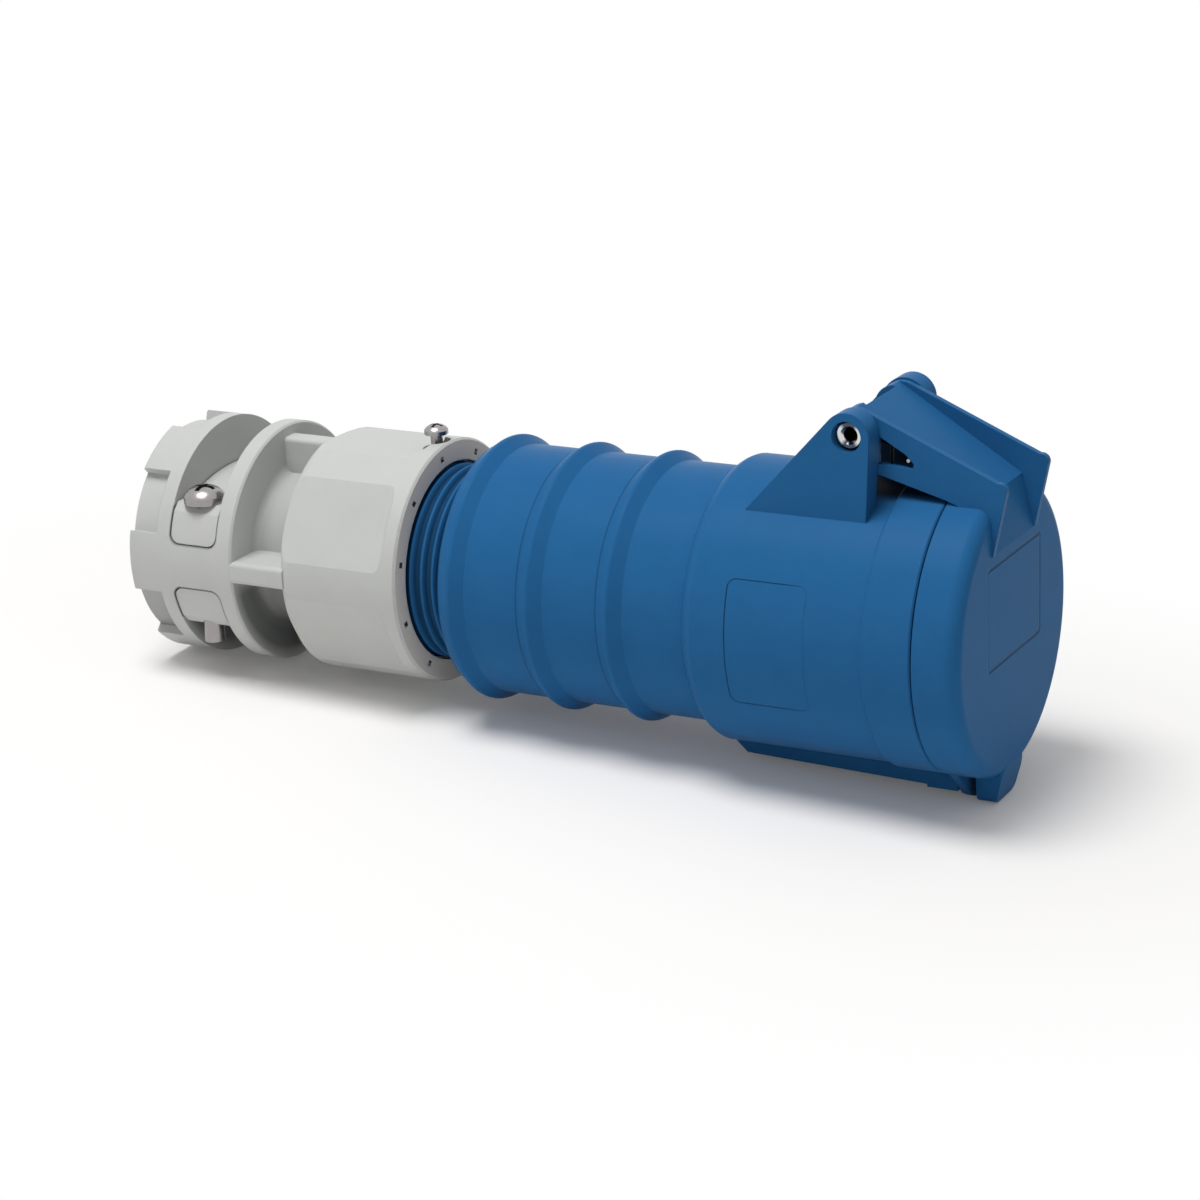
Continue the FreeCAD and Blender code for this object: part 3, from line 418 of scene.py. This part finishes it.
def mouldedPlastic(name, look, engravingAndShade=None, paintedShade=None):
    finish = Finish(bpy.data.materials.new(name))
    place = finish.place()
    x, y, z = finish.parts(place)
    patch = finish.noise(place, look["patch"], *moulding["patch"])
    grain = finish.noise(place, look["grain"], *moulding["grain"])
    flow = finish.noise(place, moulding["flowSize"], *moulding["flow"])
    colour = finish.blend(patch, look["shade"], look["colour"])
    speckle = (grain - average).most(0.0) * moulding["speckle"]
    colour = finish.blend(speckle, colour, dimmed(look["shade"], moulding["speckleShade"]))
    edge = {"Radius": look["edge"] * mm}
    normal = finish.node("ShaderNodeBevel", {"samples": moulding["edgeSamples"]}, edge)
    # the engraved lines are a bump groove with painted shade: the colour is darkened along them
    if engravingAndShade is not None:
        line = engravingAndShade(x, y, z)
        lineShadeColour = dimmed(look["shade"], moulding["lineShade"])
        colour = finish.blend(line * moulding["lineShadeAmount"], colour, lineShadeColour)
        normal = finish.bump(1.0 - line, moulding["lineDepth"] * mm, 1.0, normal)
    # painted light: past x = face the colour turns lighter and warmer, standing in for light on the nut's
    # front face
    if "face" in look:
        colour = finish.blend(x > look["face"], colour, look["faceColour"])
    # painted shade: the shade function's mask blends the colour toward the look's dark shade colour
    if paintedShade is not None:
        colour = finish.blend(paintedShade(x, y, z), colour, look["paintedShade"])
    spread = (patch - average) * moulding["patchSpread"] + (grain - average) * moulding["grainSpread"]
    height = grain + flow * moulding["flowHeight"]
    finish.set("Base Color", colour)
    finish.set("Roughness", look["roughness"] + spread)
    finish.set("Specular IOR Level", look["gloss"])
    finish.set("Normal", finish.bump(height, look["grainDepth"] * mm, moulding["relief"], normal))
    return finish.owner


# metals
brightSteel = {"colour": linear(164, 160, 160), "roughness": 0.26, "mark": 0.5, "markDepth": 0.004}
# the rivet's look holds the colours of its painted reflection and of the painted shade in its hole
rivet = {"colour": linear(222, 222, 220), "roughness": 0.14, "mark": 0.5, "markDepth": 0.003,
         "bore": (1.9, 1.75), "dark": linear(14, 14, 15), "bow": (0.35, 0.75), "turned": linear(74, 80, 92)}
# the spring's wire carries painted shade: it is dark inside the lid's arm and keeps its own colour only at
# the tip of its leg
springWire = {"colour": linear(176, 172, 166), "roughness": 0.3, "mark": 0.5, "markDepth": 0.004,
              "paintedShadeFrom": (-14.0, -13.0), "paintedShadeWire": linear(34, 33, 32)}
zincSteel = {"colour": linear(190, 192, 190), "roughness": 0.32, "mark": 0.6, "markDepth": 0.006}
turnedBrass = {"colour": linear(214, 180, 104), "roughness": 0.24, "mark": 0.35, "markDepth": 0.006}
metalwork = {"patchSize": 3.0, "patch": (3.0, 0.6), "mark": (4.0, 0.7), "dull": 0.8, "spread": 0.12,
             "relief": 0.5}


# painted reflection on the pin's head: bright at two sides of its hole and dark above and below it; painted
# shade makes its hole near-black
def turnedHead(finish, colour, look, x, z):
    along = x - hingePin[0]
    up = z - hingePin[1]
    square = along * along + up * up
    colour = finish.blend((up * up / square).between(*look["bow"]), colour, look["turned"])
    return finish.blend(square.power(0.5).between(*look["bore"]), colour, look["dark"])


def metal(name, look):
    finish = Finish(bpy.data.materials.new(name))
    place = finish.place()
    x, y, z = finish.parts(place)
    patch = finish.noise(place, metalwork["patchSize"], *metalwork["patch"])
    mark = finish.noise(place, look["mark"], *metalwork["mark"])
    colour = finish.blend(patch, dimmed(look["colour"], metalwork["dull"]), look["colour"])
    if "bore" in look:
        colour = turnedHead(finish, colour, look, x, z)
    # painted shade: the wire turns dark where y is above the given limit, inside the lid's arm
    if "paintedShadeWire" in look:
        colour = finish.blend(y.between(*look["paintedShadeFrom"]), colour, look["paintedShadeWire"])
    finish.set("Base Color", colour)
    finish.set("Metallic", 1.0)
    finish.set("Roughness", look["roughness"] + (patch - average) * metalwork["spread"])
    finish.set("Normal", finish.bump(mark, look["markDepth"] * mm, metalwork["relief"]))
    return finish.owner


rubber = {"colour": linear(38, 38, 39), "bloom": linear(62, 62, 62), "bloomFrom": 0.45, "roughness": 0.72,
          "patchSize": 5.0, "patch": (4.0, 0.65), "grainSize": 0.4, "grain": (2.0, 0.6), "spread": 0.2,
          "grainDepth": 0.03, "relief": 0.6}


def softRubber(name, look):
    finish = Finish(bpy.data.materials.new(name))
    place = finish.place()
    patch = finish.noise(place, look["patchSize"], *look["patch"])
    grain = finish.noise(place, look["grainSize"], *look["grain"])
    bloom = (patch - look["bloomFrom"]).most(0.0)
    finish.set("Base Color", finish.blend(bloom, look["colour"], look["bloom"]))
    finish.set("Roughness", look["roughness"] + (grain - average) * look["spread"])
    finish.set("Normal", finish.bump(grain, look["grainDepth"] * mm, look["relief"]))
    return finish.owner


finishes = {
    "front_housing": mouldedPlastic("blueHousing", bluePlastic, labelLine, housingShade),
    "handle": mouldedPlastic("blueHandle", bluePlastic, None, handleShade),
    "lid": mouldedPlastic("blueLid", bluePlastic, panelLine, armShade),
    "gland_nut": mouldedPlastic("greyNut", greyPlastic, None, cageShade),
    "upper_jaw": mouldedPlastic("greyJaw", greyPlastic, None, jawShade),
    "contact_carrier": mouldedPlastic("darkCarrier", darkPlastic),
    "pressure_ring": mouldedPlastic("greyRing", greyPlastic),
    "lid_gasket": softRubber("blackRubber", rubber),
    "hinge_pin": metal("rivetSteel", rivet),
    "clamp_screws": metal("brightSteel", brightSteel),
    "lid_spring": metal("springSteel", springWire),
    "carrier_screws": metal("zincSteel", zincSteel),
    "line_sleeve": metal("turnedBrass", turnedBrass),
}
sameFinish = {"lower_jaw": "upper_jaw", "contact_retainer": "contact_carrier",
              "contact_block": "contact_carrier", "cable_grommet": "lid_gasket",
              "lock_screw": "clamp_screws", "terminal_screws": "carrier_screws",
              "retainer_screws": "carrier_screws", "sleeve_rings": "carrier_screws",
              "neutral_sleeve": "line_sleeve", "earth_sleeve": "line_sleeve"}
for node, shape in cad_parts.items():
    shape.data.materials.clear()
    shape.data.materials.append(finishes[sameFinish.get(node, node)])
print("finishes made for", len(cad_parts), "pieces")


def newPiece(name, mesh, material):
    mesh.polygons.foreach_set("use_smooth", [True] * len(mesh.polygons))
    mesh.materials.clear()
    mesh.materials.append(material)
    piece = bpy.data.objects.new(name, mesh)
    scene.collection.objects.link(piece)
    return piece


# the lid's torsion spring, wound on the hinge pin, with a leg in the lid and a foot on the barrel
spring = {"mean": 3.0, "wire": 0.5, "nearY": -8.8, "farY": 0.2, "turns": 9, "steps": 20, "bevelSteps": 3,
          "lidLeg": (-10.2, 48.6), "lidHookY": -15.9, "footZ": 40.8, "toe": 4.5,
          "bend": 0.7, "corner": 0.1, "legCorner": 0.15, "legRise": (0.03, 0.2)}


def springRoute():
    size = spring
    pinX, pinZ = hingePin
    legX, legZ = size["lidLeg"]
    near, far, bend, corner = (size[name] for name in ("nearY", "farY", "bend", "corner"))
    reach = math.hypot(legX - pinX, legZ - pinZ)
    first = math.atan2(legZ - pinZ, legX - pinX) - math.acos(size["mean"] / reach)
    last = -2 * math.pi * size["turns"]
    count = size["steps"] * size["turns"]
    route = [(legX, size["lidHookY"], legZ), (legX, near - bend, legZ)]
    route.append((legX - corner, near - size["legCorner"], legZ + size["legRise"][0]))
    route.append((legX - bend, near, legZ + size["legRise"][1]))
    for index in range(count + 1):
        share = index / count
        angle = first + (last - first) * share
        y = near + (far - near) * share
        route.append((pinX + size["mean"] * math.cos(angle), y, pinZ + size["mean"] * math.sin(angle)))
    footX, footZ = pinX + size["mean"], size["footZ"]
    route += [(footX, far, footZ + bend), (footX - corner, far, footZ + corner)]
    route += [(footX - bend, far, footZ), (footX - size["toe"], far, footZ)]
    return [Vector(point) * mm for point in route]


def makeSpring():
    curve = bpy.data.curves.new("springRoute", "CURVE")
    curve.dimensions = "3D"
    curve.bevel_depth = spring["wire"] * mm
    curve.bevel_resolution = spring["bevelSteps"]
    curve.use_fill_caps = True
    route = springRoute()
    line = curve.splines.new("POLY")
    line.points.add(len(route) - 1)
    for point, place in zip(line.points, route):
        point.co = (*place, 1.0)
    holder = bpy.data.objects.new("springRoute", curve)
    scene.collection.objects.link(holder)
    mesh = bpy.data.meshes.new_from_object(holder.evaluated_get(bpy.context.evaluated_depsgraph_get()))
    bpy.data.objects.remove(holder)
    wire = newPiece("springWire", mesh, finishes["lid_spring"])
    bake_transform(wire)
    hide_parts("lid_spring")


makeSpring()
print("spring made")


# the sealing grommet, which the pressure ring squeezes against its seat
grommet = {"wall": 10.2, "bevel": 2.0, "round": 0.35, "steps": 96,
           "grooves": 2, "grooveFrom": 0.8, "grooveHalf": 0.25, "grooveDepth": 1.2}


def softened(profile, size):
    soft = []
    for index, corner in enumerate(profile):
        corner = Vector(corner)
        before = Vector(profile[index - 1]) - corner
        after = Vector(profile[(index + 1) % len(profile)]) - corner
        start = corner + before.normalized() * size
        end = corner + after.normalized() * size
        soft += [start, ((start + end) / 2 + corner) / 2, end]
    return soft


def grommetProfile(rear, front, outer):
    bevel = grommet["bevel"] * mm
    inner = outer - grommet["wall"] * mm
    bottom = inner + grommet["grooveDepth"] * mm
    pitch = (front - rear) / (grommet["grooves"] + 1)
    half = pitch * grommet["grooveHalf"]
    profile = [(front, inner), (front, outer), (rear + bevel, outer), (rear, outer - bevel), (rear, inner)]
    for index in range(grommet["grooves"]):
        x = rear + pitch * (index + grommet["grooveFrom"])
        profile += [(x, inner), (x + half, bottom), (x + 2 * half, inner)]
    return softened(profile, grommet["round"] * mm)


def makeGrommet():
    low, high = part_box("cable_grommet")
    profile = grommetProfile(low[0], high[0], high[2])
    steps, count = grommet["steps"], len(profile)
    points = []
    for step in range(steps):
        turn = 2 * math.pi * step / steps
        points += [(x, radius * math.cos(turn), radius * math.sin(turn)) for x, radius in profile]
    faces = []
    for step in range(steps):
        here, there = step * count, (step + 1) % steps * count
        for index in range(count):
            ahead = (index + 1) % count
            faces.append((here + index, here + ahead, there + ahead, there + index))
    mesh = bpy.data.meshes.new("grommetRing")
    mesh.from_pydata(points, [], faces)
    ring = newPiece("grommetRing", mesh, finishes["lid_gasket"])
    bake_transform(ring)
    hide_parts("cable_grommet")


makeGrommet()
print("grommet made")
